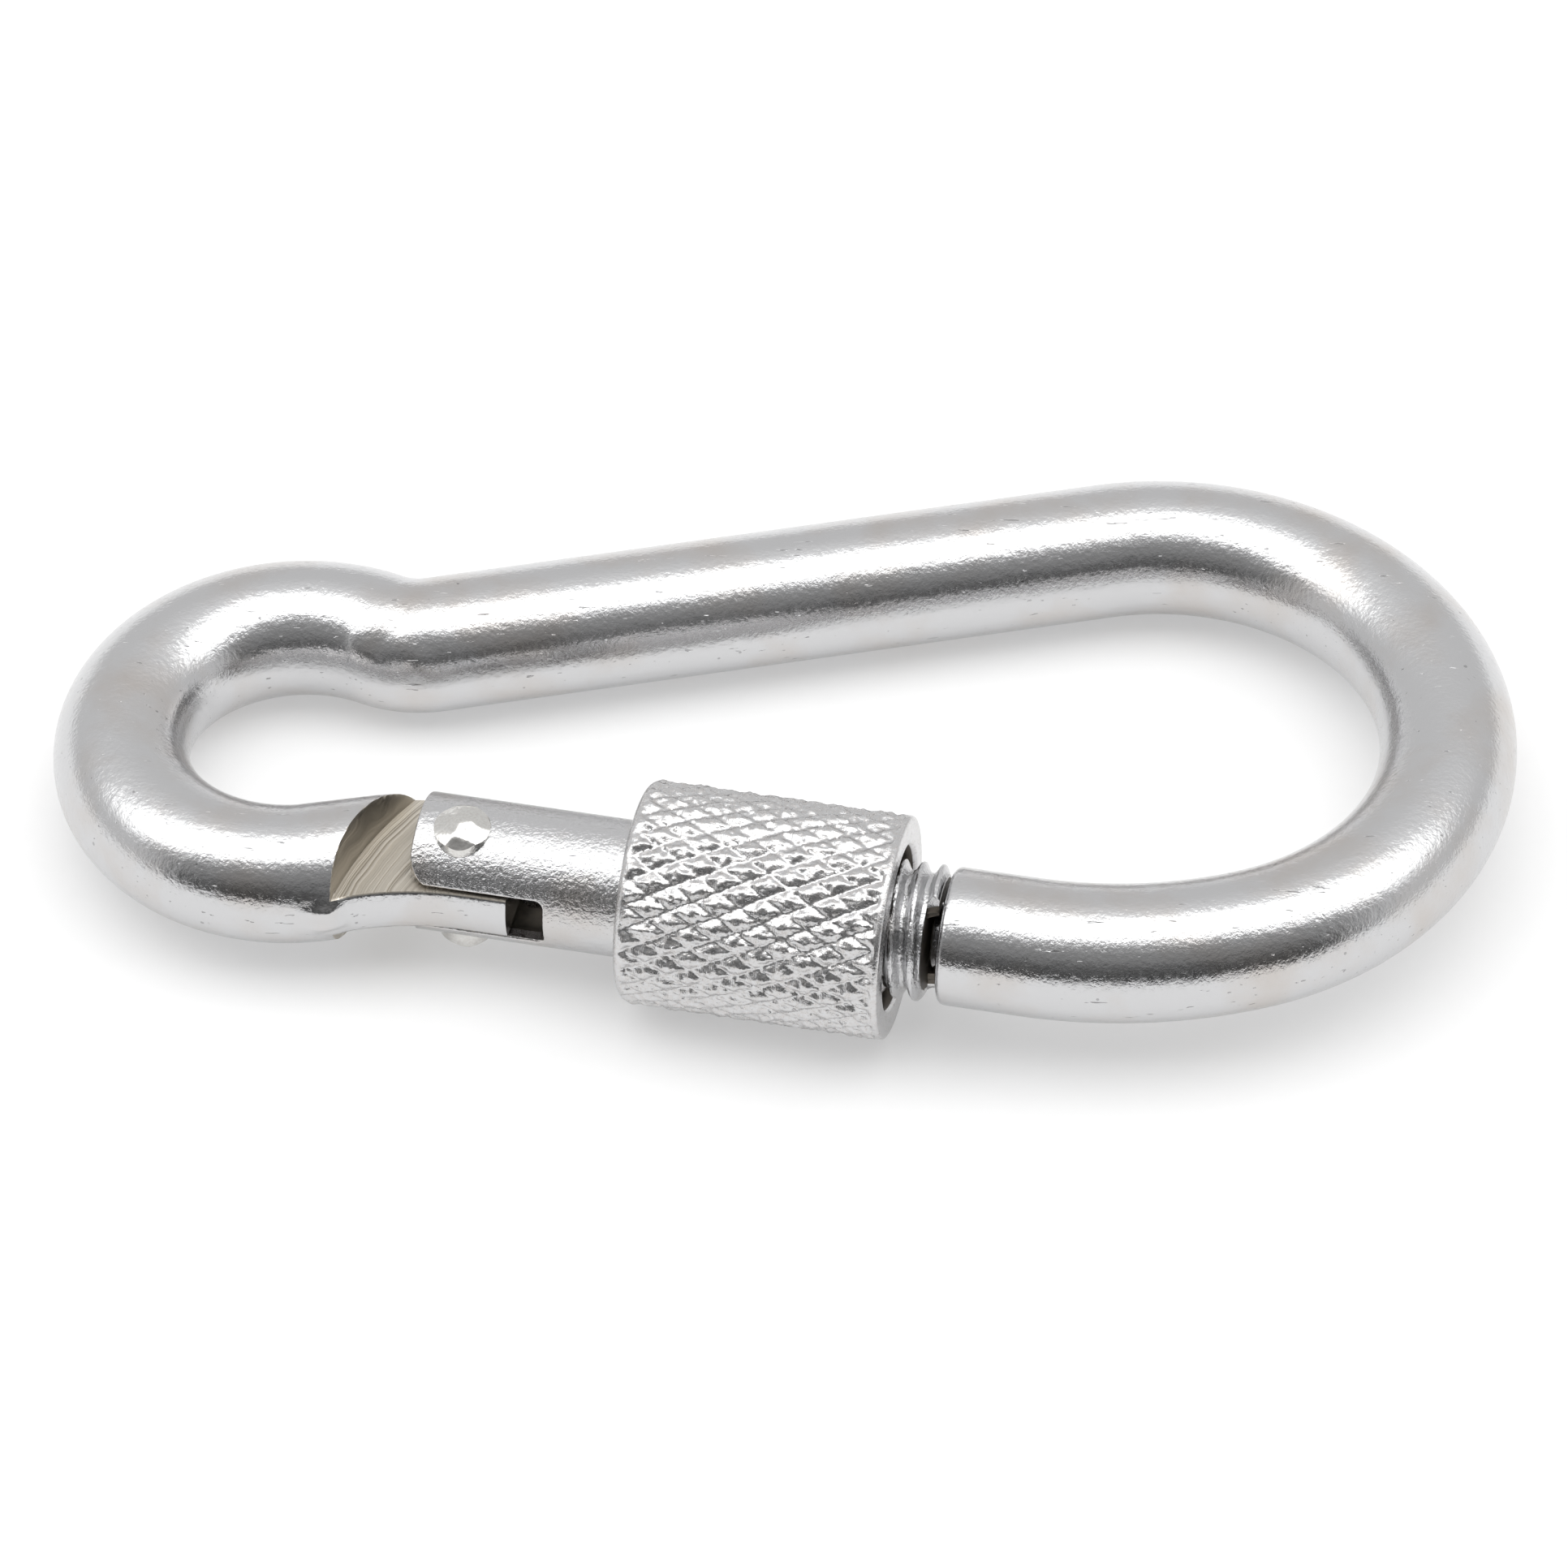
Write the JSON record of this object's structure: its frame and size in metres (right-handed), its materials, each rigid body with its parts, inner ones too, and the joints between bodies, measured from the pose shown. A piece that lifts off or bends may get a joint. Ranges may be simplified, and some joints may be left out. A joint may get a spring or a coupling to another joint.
{
  "type": "screw-lock carabiner",
  "caption": "Pear-shaped stainless snap hook with a sprung inward gate and a knurled screw sleeve that locks the gate to the nose.",
  "frame": {"origin": "middle of the bounding box", "axes": "+X along the hook's long axis, from the small loop to the large end; +Y from the gate to the straight back; +Z along the hinge pin"},
  "size_m": [0.06, 0.0294, 0.0092],
  "materials": {
    "tumbled_steel": "tumbled satin stainless steel, finely pitted",
    "turned_steel": "turned and knurled stainless steel",
    "rivet_steel": "bright peened stainless steel",
    "spring_steel": "drawn spring wire"
  },
  "bodies": {
    "hook": {"hook_body": "tumbled_steel"},
    "gate": {"gate": "tumbled_steel", "hinge_rivet": "rivet_steel", "gate_spring": "spring_steel"},
    "sleeve": {"lock_sleeve": "turned_steel"},
    "push_pin": {"push_pin": "turned_steel"}
  },
  "joints": [
    {"name": "gate_hinge", "type": "hinge", "parent": "hook", "child": "gate", "pos_m": [-0.01282, -0.00717, 0], "axis": [0, 0, 1], "range_deg": [0, 27], "stiffness_Nm_per_rad": 0.04, "springref_deg": -45.84},
    {"name": "sleeve_screw", "type": "slide", "parent": "gate", "child": "sleeve", "axis": [0.9785, -0.2062, 0], "range_m": [0, 0.003]},
    {"name": "push_pin_slide", "type": "slide", "parent": "gate", "child": "push_pin", "axis": [0.9785, -0.2062, 0], "range_m": [0, 0.0009], "deforming": ["gate_spring"]}
  ],
  "couplings": [
    {"joint": "push_pin_slide", "follows": "gate_hinge", "m_per_rad": 0.0018}
  ]
}
